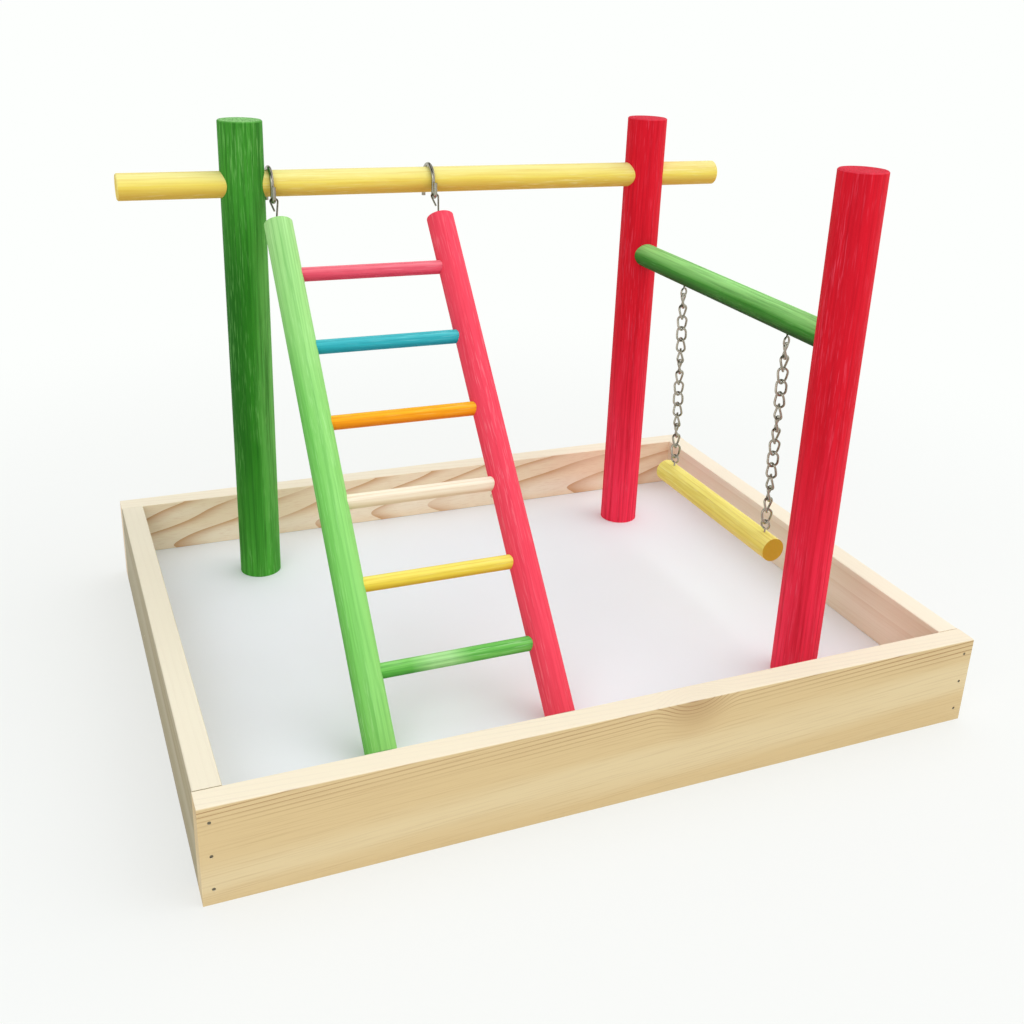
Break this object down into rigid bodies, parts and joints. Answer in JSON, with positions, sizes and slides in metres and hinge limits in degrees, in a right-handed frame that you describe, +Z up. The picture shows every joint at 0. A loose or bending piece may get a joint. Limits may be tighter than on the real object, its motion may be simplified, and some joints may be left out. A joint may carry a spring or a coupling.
{
  "type": "parrot play stand",
  "caption": "Table-top bird play stand: open wooden tray with a raised floor, upright posts, a cross perch, a leaning rung ladder on wire hooks and a swing on chains.",
  "frame": {"origin": "middle of the tray's footprint, on the surface that the stand rests on", "axes": "+X right along the front board, +Y to the back where the cross perch is, +Z up"},
  "size_m": [0.415, 0.328, 0.298],
  "materials": {
    "pine": "bare planed pine",
    "white_panel": "white melamine face on hardboard",
    "green_stain": "dark green stain, satin",
    "red_stain": "red stain, satin",
    "yellow_stain": "yellow stain, satin",
    "light_green_stain": "light green stain, satin",
    "pink_stain": "pink stain, satin",
    "blue_stain": "turquoise stain, satin",
    "orange_stain": "orange stain, satin",
    "bare_wood": "bare dowel",
    "nickel_steel": "nickel-plated wire",
    "zinc_steel": "zinc-plated"
  },
  "bodies": {
    "stand": {"tray_front_board": "pine", "tray_back_board": "pine", "tray_left_board": "pine", "tray_right_board": "pine", "tray_floor_panel": "white_panel", "front_board_brads": "zinc_steel", "back_board_brads": "zinc_steel", "side_board_brads": "zinc_steel", "green_post": "green_stain", "red_back_post": "red_stain", "red_front_post": "red_stain", "post_screws": "zinc_steel", "top_perch": "yellow_stain", "swing_bar": "light_green_stain", "swing_bar_eyes": "nickel_steel"},
    "ladder_hooks": {"ladder_hooks": "nickel_steel"},
    "ladder": {"ladder_green_rail": "light_green_stain", "ladder_red_rail": "red_stain", "ladder_rung_pink": "pink_stain", "ladder_rung_blue": "blue_stain", "ladder_rung_orange": "orange_stain", "ladder_rung_natural": "bare_wood", "ladder_rung_yellow": "yellow_stain", "ladder_rung_green": "light_green_stain", "ladder_eyes": "nickel_steel"},
    "swing_chains": {"swing_chain_front": "nickel_steel", "swing_chain_back": "nickel_steel"},
    "swing_perch": {"swing_perch": "yellow_stain", "swing_perch_eyes": "nickel_steel"}
  },
  "joints": [
    {"name": "hooks_on_perch", "type": "hinge", "parent": "stand", "child": "ladder_hooks", "pos_m": [-0.066, 0.105, 0.2625], "axis": [-1, 0, 0], "range_deg": [0, 50]},
    {"name": "ladder_on_hooks", "type": "hinge", "parent": "ladder_hooks", "child": "ladder", "pos_m": [-0.066, 0.09395, 0.2559], "axis": [-1, 0, 0], "range_deg": [0, 45]},
    {"name": "swing_sway", "type": "hinge", "parent": "stand", "child": "swing_chains", "pos_m": [0.129, -0.0137, 0.1967], "axis": [0, 1, 0], "range_deg": [-35, 35]},
    {"name": "swing_perch_tilt", "type": "hinge", "parent": "swing_chains", "child": "swing_perch", "pos_m": [0.129, -0.0185, 0.09274], "axis": [0, 1, 0], "range_deg": [-30, 30]}
  ]
}
